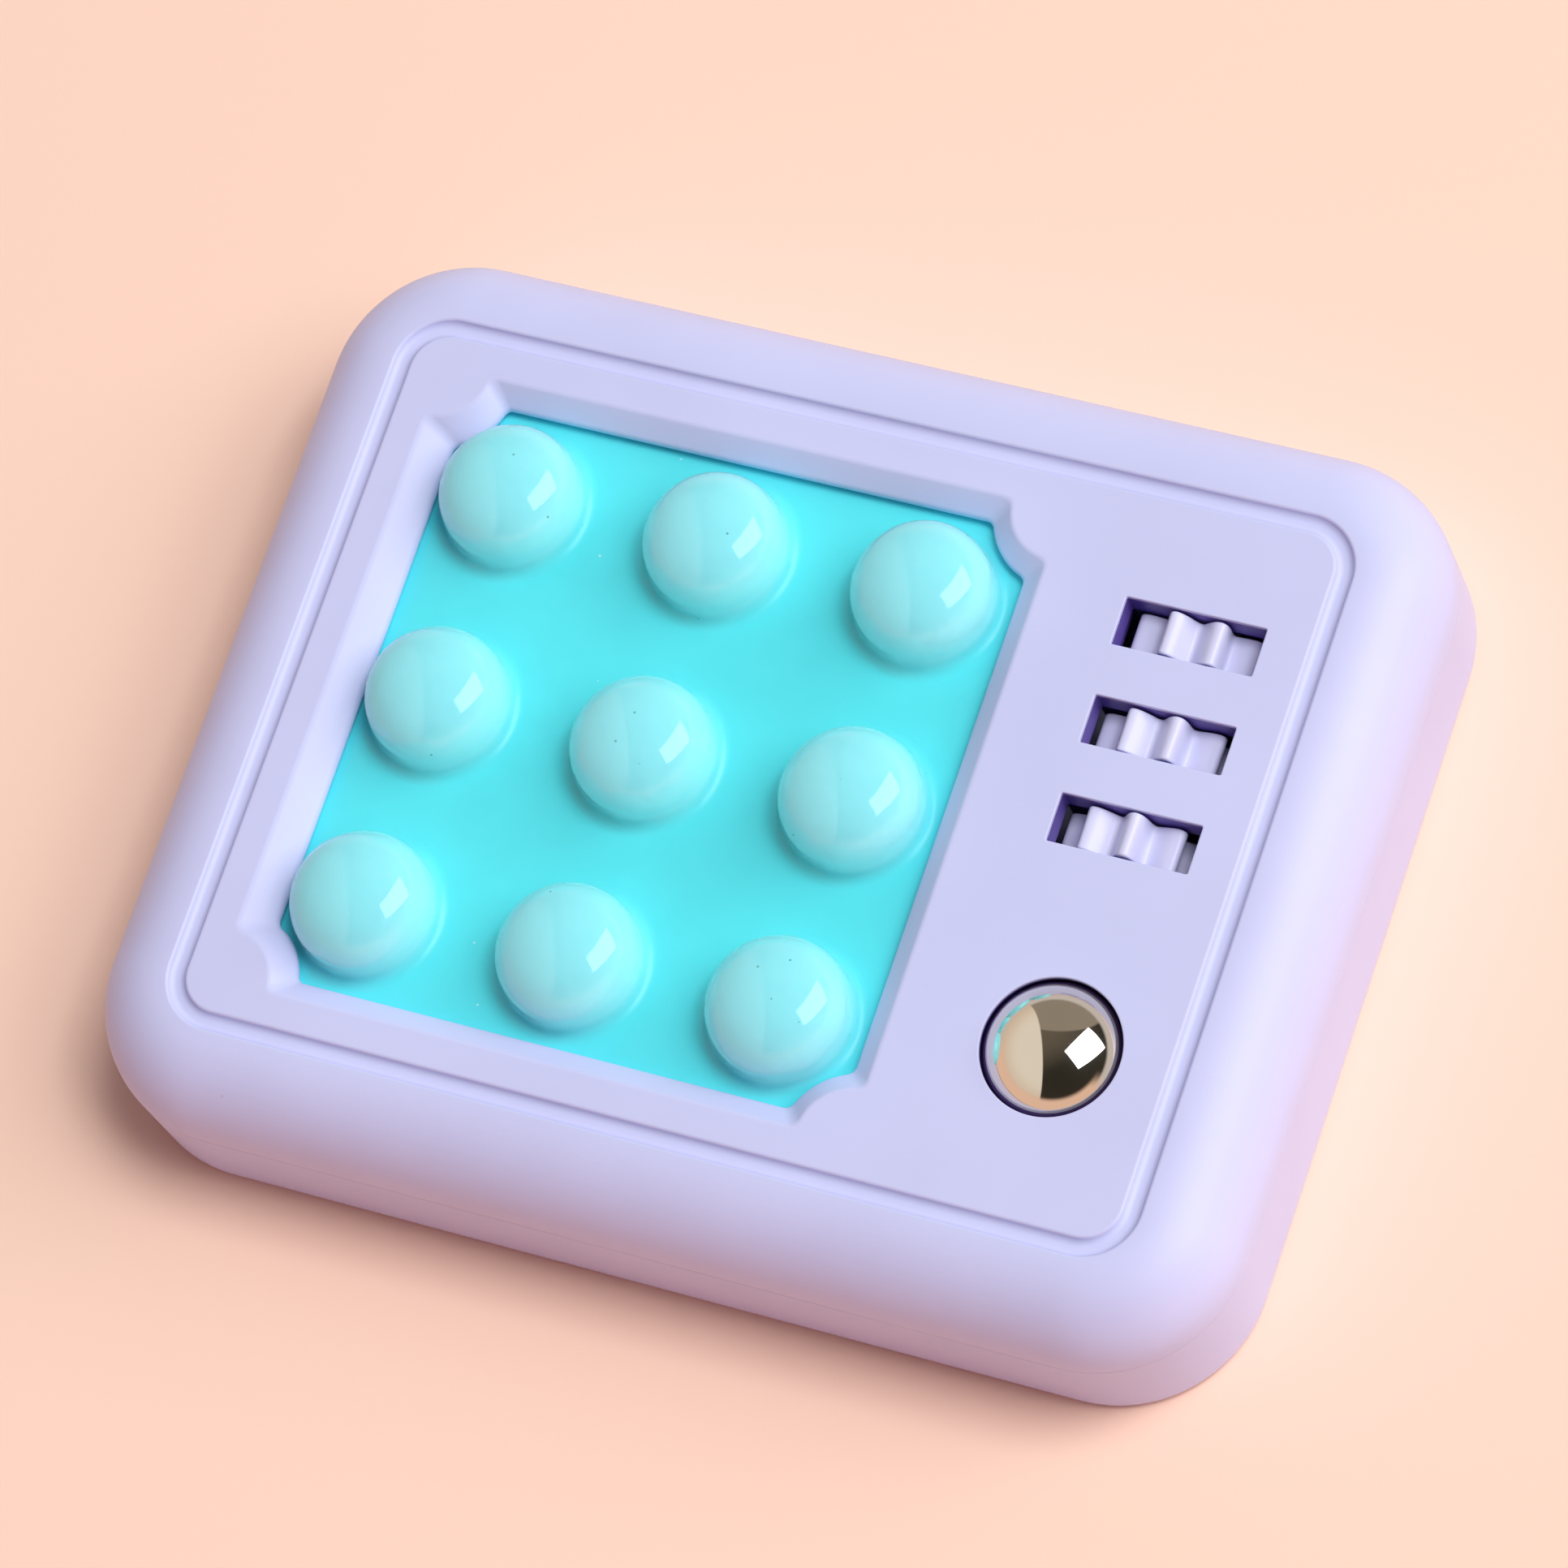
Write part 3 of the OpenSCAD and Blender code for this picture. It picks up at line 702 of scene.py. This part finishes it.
class PAD_OT_face_panel(bpy.types.Operator):
    """Face inside the groove, with the window, the wheel slots and the ball's hole"""
    bl_idname = "pad.face_panel"
    bl_label = "Face Panel"

    def groove(self, s):
        """Section from the face through the groove, then down the panel's side."""
        soft, hollow, turn = s.groove_soft, s.groove_fillet, groove_turn(s)
        high = FACE_TOP - s.groove_depth + hollow
        run = (soft + hollow) * sin(radians(turn)) - soft
        section = [(-soft - s.edge_strip, FACE_TOP)]
        section += arc((-soft, FACE_TOP - soft), soft, 90, 90 - turn, steps=7)
        section += arc((run, high), hollow, 270 - turn, 270, steps=10)[1:]
        section += arc((s.groove_width - run, high), hollow, 270, 270 + turn, steps=10)
        side, shoulder = section[-1]
        side += s.panel_step
        return section + [(side, shoulder), (side, s.panel_back)]

    def window(self, s):
        """Section from the face down the window's slope, then back under its lip."""
        soft, curl = s.window_soft, s.window_lip
        slope = atan2(FACE_TOP - s.panel_back, s.window_run)
        turn = 90 + degrees(slope)
        reach = soft * sin(slope) / (1 + cos(slope))
        lip = ((s.window_gap + curl) * cos(slope) + curl) / sin(slope) - s.window_run
        low, under = s.panel_back + s.window_gap, lip + s.window_under
        section = [(reach + s.edge_strip, FACE_TOP)]
        section += arc((reach, FACE_TOP - soft), soft, 90, turn, steps=8)
        section += arc((lip, low + curl), curl, turn, 270, steps=10)
        return section + [(under, low), (under, s.panel_back)]

    def opening(self, s, lip, liner):
        """Section from the face down through an opening, wider under its lip."""
        soft, low = s.slot_soft, FACE_TOP - lip
        section = [(soft + s.edge_strip, FACE_TOP)]
        section += arc((soft, FACE_TOP - soft), soft, 90, 180, steps=5)
        return section + [(0, low), (liner, low), (liner, s.panel_back)]

    def collar(self, s):
        """Section of the collar that holds the ball's cup."""
        outer, inner, soft = s.collar_radius, s.collar_radius - s.collar_wall, s.collar_soft
        back, low = s.panel_back, s.panel_back - s.collar_height
        return [(outer, back), (outer, low + soft), (outer - soft, low),
                (inner + soft, low), (inner, low + soft), (inner, back)]

    def execute(self, context):
        s, tints = settings(context)
        slot = self.opening(s, s.slot_lip, s.slot_shade_liner)
        hole = self.opening(s, s.hole_lip, s.hole_shade_liner)
        ball = middle("steel_ball")
        skin = Skin()
        rims = [skin.sweep(lambda grow: face_outline(s, grow), self.groove(s)),
                skin.sweep(lambda grow: window_outline(s, grow), self.window(s))]
        for wheel in WHEELS:
            spot = middle(wheel)
            rims.append(skin.sweep(lambda grow: slot_outline(s, spot, grow), slot))
        rims.append(skin.sweep(lambda grow: hole_outline(s, ball, grow), hole))
        skin.cap(rims)
        skin.sweep(lambda radius: circle_outline(ball, radius, COLLAR_STEPS), self.collar(s),
                   closed=True)
        plastic = finish_named("case_satin", satin_plastic, tints.case)
        skin.piece("face_panel_moulding", plastic, "case", "case_plastic", "face_panel")
        return {"FINISHED"}


class PAD_OT_shade_liners(bpy.types.Operator):
    """Dark liners inside the wheel slots and the ball's hole, which are painted shade: dark pieces
    that stand in for the shadow inside these openings
    """
    bl_idname = "pad.liners"
    bl_label = "Shade Liners"

    def slot(self, s):
        """Section of a shade liner in a wheel slot."""
        top, low = FACE_TOP - s.slot_lip - s.shade_liner_play, s.panel_back
        out = s.slot_shade_liner - s.shade_liner_play
        return [(0, top), (out, top), (out, low), (0, low)]

    def hole(self, s):
        """Section of the shade liner in the ball's hole, hollowed around the ball."""
        bottom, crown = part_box("steel_ball")
        height = (bottom.z + crown.z) / 2
        seat = (crown.z - bottom.z) / 2 + s.ball_play
        top, low = FACE_TOP - s.hole_lip - s.shade_liner_play, s.panel_back
        out = s.hole_shade_liner - s.shade_liner_play
        start = degrees(atan2(low - height, sqrt(seat ** 2 - (low - height) ** 2)))
        end = degrees(atan2(sqrt(seat ** 2 - s.ball_hole ** 2), s.ball_hole))
        hollow = arc((-s.ball_hole, height), seat, start, end, steps=10)
        return [(0, top), (out, top), (out, low)] + hollow

    def execute(self, context):
        s, tints = settings(context)
        # Painted shade: the liners are dark pieces in the inner plastic's colour that stand in for
        # the shadow inside the openings.
        plastic = finish_named("inner_satin", satin_plastic, tints.inner)
        for i, wheel in enumerate(WHEELS, 1):
            spot = middle(wheel)
            skin = Skin()
            skin.sweep(lambda grow: slot_outline(s, spot, grow), self.slot(s), closed=True)
            skin.piece("slot_liner_%d" % i, plastic, "case", "inner_plastic")
        spot = middle("steel_ball")
        skin = Skin()
        skin.sweep(lambda grow: hole_outline(s, spot, grow), self.hole(s), closed=True)
        skin.piece("ball_shade_liner", plastic, "case", "inner_plastic")
        return {"FINISHED"}


class PAD_OT_bubble_sheet(bpy.types.Operator):
    """Silicone floor of the window, open under each bubble"""
    bl_idname = "pad.bubble_sheet"
    bl_label = "Bubble Sheet"

    def execute(self, context):
        s, tints = settings(context)
        spot = middle("bubble_sheet")
        low = SHEET_TOP - s.sheet_thickness
        soft, width = s.sheet_soft, s.sheet_width
        section = [(-soft, SHEET_TOP), (0, SHEET_TOP - soft), (0, low + soft), (-soft, low)]
        skin = Skin()
        rims = [skin.sweep(lambda grow: rounded_outline(
            spot, width + 2 * grow, width + 2 * grow, s.sheet_corner + grow, steps=8), section)]
        for bubble in BUBBLES:
            opening = circle_outline(
                middle(bubble), s.bubble_radius + s.bubble_play, BUBBLE_STEPS)
            rims.append(skin.walls([skin.ring(opening, SHEET_TOP), skin.ring(opening, low)]))
        skin.cap(rims)
        silicone = finish_named("sheet_silicone", silicone_sheet, tints.sheet)
        skin.piece("bubble_sheet_moulding", silicone, "case", "silicone", "bubble_sheet")
        return {"FINISHED"}


class PAD_OT_bubbles(bpy.types.Operator):
    """Nine silicone bubbles"""
    bl_idname = "pad.bubbles"
    bl_label = "Bubbles"

    def dome(self, s):
        """Section of a dome over the sheet, from its side up to its top."""
        out = s.bubble_radius - s.bubble_shoulder
        turn = atan2(out, sqrt((s.bubble_cap - s.bubble_shoulder) ** 2 - out ** 2))
        base = SHEET_TOP + s.bubble_base
        drop = (s.bubble_cap - s.bubble_shoulder) * cos(turn)
        lean = 90 - degrees(turn)
        section = arc((out, base), s.bubble_shoulder, 0, lean, steps=16)
        section += arc((0, base - drop), s.bubble_cap, lean, 90, steps=14)[1:-1]
        return section + [(0, base - drop + s.bubble_cap)]

    def execute(self, context):
        s, tints = settings(context)
        silicone = finish_named(
            "bubble_silicone", silicone_bubble, tints.bubble, tints.side, tints.sheet)
        low = SHEET_TOP - s.sheet_thickness
        foot = s.bubble_foot
        edge = SHEET_TOP - s.bubble_sink
        outside = [(s.bubble_radius, low), (s.bubble_radius, edge), (s.bubble_radius + foot, edge)]
        outside += arc((s.bubble_radius + foot, SHEET_TOP + foot), foot, 270, 180, steps=8)
        outside += self.dome(s)
        top = outside[-1][1]
        for bubble in BUBBLES:
            spot = middle(bubble)
            skin = Skin()
            skin.revolve(spot, [(0, low)] + outside, BUBBLE_STEPS)
            made = skin.piece("%s_dome" % bubble, silicone, bubble, "silicone", bubble)
            press = [j for j in frame["joints"] if j["child"] == bubble][0]
            travel = max(abs(limit) for limit in press["range_m"])
            1 - travel / (top - SHEET_TOP)
            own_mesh(made)
        return {"FINISHED"}


class PAD_OT_thumb_wheels(bpy.types.Operator):
    """Three waved thumb wheels on their axle"""
    bl_idname = "pad.thumb_wheels"
    bl_label = "Thumb Wheels"

    def wheel(self, s, axis, turn):
        """Skin of one wheel: its hub, its waved rim and its hub again."""
        skin = Skin()
        steps = s.wheel_teeth * TOOTH_STEPS

        def rim(y, radius=None, sink=0.0):
            """Adds a round or a waved loop around the axle."""
            points = []
            for i in range(steps):
                a = 2 * pi * i / steps
                wave = cos(s.wheel_teeth * (a - pi / 2 - turn))
                r = radius or s.wheel_radius - s.tooth_depth / 2 * (1 + wave) - sink
                points.append((axis.x + r * cos(a), axis.y + y, axis.z + r * sin(a)))
            return skin.loop(points)

        half, soft = s.wheel_width / 2, s.wheel_soft
        hub, bevel = s.hub_width / 2, s.hub_soft
        sunk = soft + s.wheel_strip
        edge = arc((0, 0), soft, 0, 90, steps=5)
        loops = [rim(-hub, s.axle_hole), rim(-hub, s.hub_radius - bevel)]
        loops += [rim(bevel - hub, s.hub_radius), rim(-half, s.hub_radius)]
        loops += [rim(-half, sink=sunk)]
        loops += [rim(-half + soft - y, sink=soft - x) for x, y in reversed(edge)]
        loops += [rim(half - soft + y, sink=soft - x) for x, y in edge]
        loops += [rim(half, sink=sunk)]
        loops += [rim(half, s.hub_radius), rim(hub - bevel, s.hub_radius)]
        loops += [rim(hub, s.hub_radius - bevel), rim(hub, s.axle_hole)]
        skin.walls(loops, closed=True)
        return skin

    def execute(self, context):
        s, tints = settings(context)
        plastic = finish_named("wheel_satin", satin_plastic, tints.wheel, rough=0.16)
        axle = middle("wheel_axle")
        for wheel, turn in zip(WHEELS, s.wheel_turn):
            skin = self.wheel(s, Vector((axle.x, middle(wheel).y, axle.z)), turn)
            skin.piece("%s_moulding" % wheel, plastic, wheel, "wheel_plastic", wheel)
        return {"FINISHED"}


class PAD_OT_steel_ball(bpy.types.Operator):
    """Polished ball in its hole"""
    bl_idname = "pad.steel_ball"
    bl_label = "Steel Ball"

    def execute(self, context):
        tints = context.scene.pad_colours
        low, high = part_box("steel_ball")
        spot = (low + high) / 2
        radius = (high.z - low.z) / 2
        skin = Skin()
        section = arc((0, spot.z), radius, -90, 90, steps=72)
        skin.revolve(spot, [(0, section[0][1])] + section[1:-1] + [(0, section[-1][1])], BALL_STEPS)
        steel = finish_named("ball_polish", polished_steel, tints.steel)
        skin.piece("steel_ball_polished", steel, "steel_ball", "ball_steel", "steel_ball")
        return {"FINISHED"}


class PAD_OT_case_screws(bpy.types.Operator):
    """Four screws with cross recesses that close the case from behind"""
    bl_idname = "pad.case_screws"
    bl_label = "Case Screws"

    def execute(self, context):
        s, tints = settings(context)
        low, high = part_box("case_screws")
        seat = low.z + s.screw_seat
        arm, reach, soft, taper = s.screw_arm, s.screw_cross / 2, s.screw_soft, s.screw_taper
        quarter = [(reach, -arm), (reach, arm), (arm, arm)]
        cross = []
        for c, d in QUARTERS:
            cross += [(c * x - d * y, d * x + c * y) for x, y in quarter]
        section = arc((s.screw_head - soft, low.z + soft), soft, 270, 360, steps=6)
        section += [(s.screw_head, seat), (s.screw_shank, seat)]
        section += [(s.screw_shank, high.z - s.screw_tip), (s.screw_point, high.z), (0, high.z)]
        skin = Skin()
        for sx in (low.x + s.screw_head, high.x - s.screw_head):
            for sy in (low.y + s.screw_head, high.y - s.screw_head):
                loops = skin.revolve((sx, sy), section, SCREW_STEPS)
                top = skin.ring([(sx + x, sy + y) for x, y in cross], low.z)
                end = skin.ring([(sx + taper * x, sy + taper * y) for x, y in cross],
                                low.z + s.screw_deep)
                skin.fill(loops[0], top)
                skin.walls([top, end])
                skin.fill(end)
        plated = finish_named("screw_plating", plated_steel, tints.screw)
        skin.piece("case_screws_heads", plated, "case", "steel", "case_screws")
        return {"FINISHED"}


class PAD_OT_inner_parts(bpy.types.Operator):
    """Finishes of the parts inside the case"""
    bl_idname = "pad.inner_parts"
    bl_label = "Inner Parts"

    def execute(self, context):
        tints = context.scene.pad_colours
        plastic = finish_named("inner_satin", satin_plastic, tints.inner)
        plated = finish_named("screw_plating", plated_steel, tints.screw)
        inside = {"sheet_clamp": plastic, "wheel_carrier": plastic, "ball_cup": plastic,
                  "wheel_axle": plated, "clamp_screws": plated, "carrier_screws": plated}
        for node, finish in inside.items():
            dress(node, finish)
        return {"FINISHED"}


class PAD_OT_stage(bpy.types.Operator):
    """Paper floor, studio light and camera"""
    bl_idname = "pad.stage"
    bl_label = "Stage"

    def floor(self, context):
        """Wide sheet of paper just under the pad."""
        finish = Finish(bpy.data.materials.new("floor_paper"))
        where = finish.place()
        fibre = finish.noise(where, scale=900.0, detail=3.0)
        tint = tuple(context.scene.pad_colours.floor)
        paper = finish.surface(
            Base_Color=finish.mix(fibre, shade(tint, 0.99), tint),
            Roughness=0.8,
            Specular_IOR_Level=0.2)
        mesh = bpy.data.meshes.new("floor")
        corners = [(FLOOR_HALF * x, FLOOR_HALF * y, -FLOOR_DROP)
                   for x, y in ((-1, -1), (1, -1), (1, 1), (-1, 1))]
        mesh.from_pydata(corners, [], [(0, 1, 2, 3)])
        mesh.materials.append(paper)
        floor = bpy.data.objects.new("floor", mesh)
        context.scene.collection.objects.link(floor)

    def lamp(self, context, name, away, along, distance, sides, power):
        """Flat light that faces the pad, its first side along a direction."""
        lamp = bpy.data.lights.new(name, "AREA")
        lamp.shape = "RECTANGLE"
        lamp.size, lamp.size_y = sides
        lamp.energy = power
        held = bpy.data.objects.new(name, lamp)
        away = Vector(away).normalized()
        along = Vector(along)
        along = (along - along.project(away)).normalized()
        held.location = away * distance
        held.rotation_mode = "QUATERNION"
        axes = Matrix((along, away.cross(along), away)).transposed()
        held.rotation_quaternion = axes.to_quaternion()
        context.scene.collection.objects.link(held)
        return held

    def lamps(self, context, stage):
        """Softbox, and a top light that the ball doesn't mirror."""
        self.lamp(context, "softbox", stage.key_from, stage.key_along, stage.key_distance,
                  (stage.key_long, stage.key_short), stage.key_power)
        top = self.lamp(context, "top_light", stage.top_from, (0, 1, 0), stage.key_distance,
                        (stage.top_side, stage.top_side), stage.top_power)
        top.visible_glossy = False

    def room(self, context, stage):
        """Light from all around, and the walls that polished steel mirrors."""
        world = bpy.data.worlds.new("studio")
        context.scene.world = world
        finish = Finish(world)
        look = finish.node("ShaderNodeTexCoord", out="Generated")
        height = finish.node("ShaderNodeSeparateXYZ", None, {0: look}, "Z")

        def toward(way):
            """How far the view turns towards a direction."""
            return finish.node("ShaderNodeVectorMath", {"operation": "DOT_PRODUCT"},
                               {0: look, 1: Vector(way).normalized()}, "Value")

        dim = finish.mix(finish.smooth(toward(TO_CORNER), 0.2, 0.95), DARK_WALL, DIM_WALL)
        walls = finish.mix(finish.smooth(toward(TO_BACK), 0.70, 0.74), dim, BACK_WALL)
        cream = finish.mix(finish.smooth(height, 0.1, 0.7), CREAM_LOW, CREAM_HIGH)
        walls = finish.mix(finish.smooth(toward(TO_LEFT), 0.43, 0.46), walls, cream)
        walls = finish.mix(finish.smooth(height, 0.22, 0.12), walls, SKIRTING)
        front = toward(TO_FRONT)
        sweep = finish.smooth(height, 0.36, 0.22) * finish.smooth(front, -0.1, 0.4)
        walls = finish.mix(sweep, walls, PAPER_SWEEP)
        near = finish.smooth(front, -0.5, 0.5)
        bounce = finish.mix(near, BACK_BOUNCE, FRONT_BOUNCE)
        ceiling = finish.mix(near, BACK_CEILING, FRONT_CEILING)
        glow = finish.mix(finish.smooth(height, 0.05, 0.3), bounce, ceiling)
        even = finish.node("ShaderNodeBackground", None, {"Color": glow, "Strength": stage.ambient})
        seen = finish.node("ShaderNodeBackground", None, {"Color": walls, "Strength": 1.0})
        mirror = finish.node("ShaderNodeLightPath", out="Is Glossy Ray")
        mixed = finish.node("ShaderNodeMixShader", None, {0: mirror, 1: even, 2: seen})
        finish.node("ShaderNodeOutputWorld", None, {"Surface": mixed})

    def camera(self, context, stage):
        """Camera at the angle of the reference picture."""
        lens = bpy.data.cameras.new("photographed_view")
        lens.sensor_width = FRAME_WIDTH_MM
        lens.lens = stage.lens
        lens.clip_end = FAR_CLIP
        held = bpy.data.objects.new("photographed_view", lens)
        held.location = stage.eye
        view = Vector(stage.aim) - Vector(stage.eye)
        held.rotation_mode = "QUATERNION"
        held.rotation_quaternion = view.to_track_quat("-Z", "Y") @ Quaternion((0, 0, 1), stage.roll)
        context.scene.collection.objects.link(held)
        context.scene.camera = held

    def execute(self, context):
        stage = context.scene.pad_stage
        self.floor(context)
        self.lamps(context, stage)
        self.room(context, stage)
        self.camera(context, stage)
        context.scene.view_settings.view_transform = "Standard"
        return {"FINISHED"}


MAKERS = (PAD_OT_front_shell, PAD_OT_back_cover, PAD_OT_face_panel, PAD_OT_shade_liners,
          PAD_OT_bubble_sheet, PAD_OT_bubbles, PAD_OT_thumb_wheels, PAD_OT_steel_ball,
          PAD_OT_case_screws, PAD_OT_inner_parts, PAD_OT_stage)


class PAD_PT_sidebar(bpy.types.Panel):
    """Pieces, sizes and colours of the fidget pad"""
    bl_idname = "PAD_PT_sidebar"
    bl_label = "Fidget Pad"
    bl_space_type = "VIEW_3D"
    bl_region_type = "UI"
    bl_category = "Fidget Pad"

    def draw(self, context):
        for maker in MAKERS:
            self.layout.operator(maker.bl_idname)
        for group in (context.scene.pad_sizes, context.scene.pad_colours, context.scene.pad_stage):
            box = self.layout.box()
            for name in group.bl_rna.properties.keys():
                if name not in ("rna_type", "name"):
                    box.prop(group, name)


CLASSES = (PadSizes, PadColours, PadStage, *MAKERS, PAD_PT_sidebar)


def register():
    """Adds the classes, and the settings to every scene."""
    for cls in CLASSES:
        bpy.utils.register_class(cls)
    bpy.types.Scene.pad_sizes = PointerProperty(type=PadSizes)
    bpy.types.Scene.pad_colours = PointerProperty(type=PadColours)
    bpy.types.Scene.pad_stage = PointerProperty(type=PadStage)


def unregister():
    """Takes the settings and the classes away again."""
    del bpy.types.Scene.pad_stage
    del bpy.types.Scene.pad_colours
    del bpy.types.Scene.pad_sizes
    for cls in reversed(CLASSES):
        bpy.utils.unregister_class(cls)


def main():
    """Builds the pad and its stage."""
    register()
    for maker in MAKERS:
        group, step = maker.bl_idname.split(".")
        getattr(getattr(bpy.ops, group), step)()


if __name__ == "__main__":
    main()
